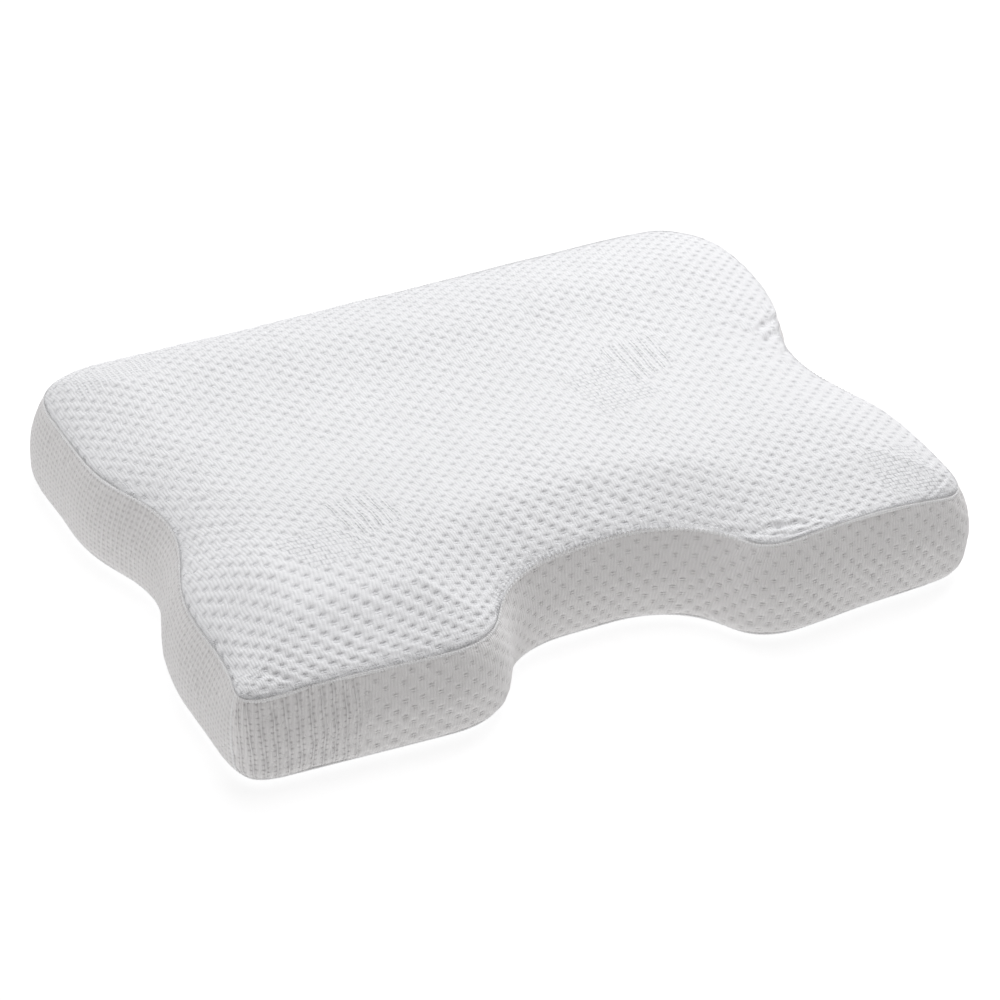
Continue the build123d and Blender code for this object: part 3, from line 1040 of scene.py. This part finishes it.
# ---- liner and foam core ------------------------------------------------------
def closed_form(inset):
    """Coarse closed skin of the whole pillow, drawn in by inset."""
    t = (top_soft - top_normal * inset)[::COARSE, ::COARSE]
    w = (wall_soft - wall_normal * inset)[::COARSE, ::COARSE]
    f = (floor_soft - floor_normal * inset)[:: COARSE // 2, :: COARSE // 2]
    rows, cols = t.shape[:2]
    n = rows * cols
    ring = ring_of(np.arange(n).reshape(rows, cols))
    w_cols = w.shape[1]
    mid = n + np.arange((w.shape[0] - 2) * w_cols).reshape(-1, w_cols)
    ring_floor = n + mid.size + ring
    index = np.concatenate([ring_floor[None], mid, ring[None]])
    verts = np.concatenate([t.reshape(-1, 3), w[1:-1].reshape(-1, 3), f.reshape(-1, 3)])
    # The rim takes the middle of both surfaces' offsets.
    verts[ring] = (verts[ring] + w[-1]) / 2
    verts[ring_floor] = (verts[ring_floor] + w[0]) / 2
    faces = np.concatenate(
        [
            grid_faces(rows, cols),
            index.ravel()[grid_faces(index.shape[0], w_cols, wrap=True)],
            grid_faces(rows, cols, flip=True) + n + mid.size,
        ]
    )
    return verts, faces


FOAM_INSET, LINER_INSET = 0.0042, 0.0030     # below the smooth face of the cover
verts, faces = closed_form(FOAM_INSET)
foam = mesh_object("foam_core", verts, faces)
finish_piece(foam, FOAM, stands_for=["foam_core"])

verts, faces = closed_form(LINER_INSET)
LINER_SEAM_Z = 0.045
upper = verts[faces][..., 2].mean(1) >= LINER_SEAM_Z
for name, part in (("inner_liner_top", faces[upper]), ("inner_liner_bottom", faces[~upper])):
    used, index = np.unique(part, return_inverse=True)
    liner = mesh_object(name, verts[used], index.reshape(part.shape))
    mod = liner.modifiers.new("thickness", "SOLIDIFY")
    mod.thickness = 0.0007
    mod.offset = -1
    finish_piece(liner, LINER, stands_for=[name])


# ---- zip ----------------------------------------------------------------------
def coil(name, side):
    """Moulded coil of one side of the chain, as a wound filament."""
    low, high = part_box(name)
    centre = (low + high) / 2
    pitch, wire = 0.0014, 0.00032
    half_y = (high.y - low.y) / 2 - wire
    half_z = (high.z - low.z) / 2 - wire
    turns = int((high.x - low.x - 2 * wire) / pitch)
    a = np.linspace(0, 2 * math.pi * turns, turns * 14 + 1) * side
    x = np.linspace(low.x + wire, high.x - wire, len(a))
    path = np.stack([x, centre.y + half_y * np.cos(a), centre.z + half_z * np.sin(a)], 1)
    t = unit(np.gradient(path, axis=0))
    axis = np.array([0, centre.y, centre.z]) + x[:, None] * [1, 0, 0]
    out = unit(path - axis)
    side_way = unit(np.cross(t, out))
    out = np.cross(side_way, t)
    angles = np.linspace(0, 2 * math.pi, 7)[:-1]
    ring = [path + out * (math.cos(b) * wire) + side_way * (math.sin(b) * wire) for b in angles]
    obj = mesh_object(name, np.stack(ring, 1), grid_faces(len(a), len(ring), wrap=True))
    return finish_piece(obj, COIL, stands_for=[name])


coil("zipper_coil_upper", 1)
coil("zipper_coil_lower", -1)
KEPT = {
    "zipper_tape_upper": TAPE,
    "zipper_tape_lower": TAPE,
    "zipper_top_stops": STOP,
    "zipper_bottom_stop": STOP,
    "zipper_slider": SLIDER,
    "zipper_pull": SLIDER,
}
for node, material in KEPT.items():
    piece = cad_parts[node]
    piece.data.materials.clear()
    piece.data.materials.append(material)


# ---- stage ----------------------------------------------------------------------
GROUND_Z = -0.0004        # just clear of the underside
bpy.ops.mesh.primitive_plane_add(size=14, location=(0, 0, GROUND_Z))
ground = bpy.context.object
ground.name = "floor"
ground_material, tree, shader = new_material("floor", (0.32, 0.32, 0.321), 0.9)
shader.inputs["Emission Color"].default_value = (1, 1, 1, 1)
shader.inputs["Emission Strength"].default_value = 0.78
ground.data.materials.append(ground_material)

world = bpy.data.worlds.new("studio")
world.use_nodes = True
sky = world.node_tree.nodes["Background"]
sky.inputs["Color"].default_value = (1.0, 0.970, 0.962, 1)
sky.inputs["Strength"].default_value = 0.24
bpy.context.scene.world = world
bpy.context.scene.view_settings.view_transform = "Standard"


LIGHT_AIM = Vector((0, 0, 0.06))
DAYLIGHT = (0.985, 0.99, 1.0)


def area_light(name, place, size, power):
    data = bpy.data.lights.new(name, "AREA")
    data.shape = "SQUARE"
    data.size = size
    data.energy = power
    data.color = DAYLIGHT
    lamp = bpy.data.objects.new(name, data)
    bpy.context.scene.collection.objects.link(lamp)
    lamp.location = place
    lamp.rotation_euler = (LIGHT_AIM - Vector(place)).to_track_quat("-Z", "Y").to_euler()


area_light("overhead", (0.25, 0.45, 2.1), 1.7, 35)
area_light("from_right", (1.7, 0.9, 1.0), 1.0, 14)
area_light("from_left", (-1.9, 0.5, 0.5), 1.0, 4)

# ---- camera -----------------------------------------------------------------------
TARGET = Vector((-0.0118, -0.0309, 0.045))
AZIMUTH, ELEVATION, ROLL = math.radians(-31.57), math.radians(35.95), math.radians(4.95)
DISTANCE = 2.557
view = Vector(
    (
        math.sin(AZIMUTH) * math.cos(ELEVATION),
        -math.cos(AZIMUTH) * math.cos(ELEVATION),
        math.sin(ELEVATION),
    )
)
camera_data = bpy.data.cameras.new("camera")
camera_data.lens = 126.9
camera_data.sensor_width = 36
camera = bpy.data.objects.new("camera", camera_data)
bpy.context.scene.collection.objects.link(camera)
camera.location = TARGET + view * DISTANCE
camera.rotation_euler = ((-view).to_track_quat("-Z", "Y") @ Quaternion((0, 0, 1), ROLL)).to_euler()
bpy.context.scene.camera = camera
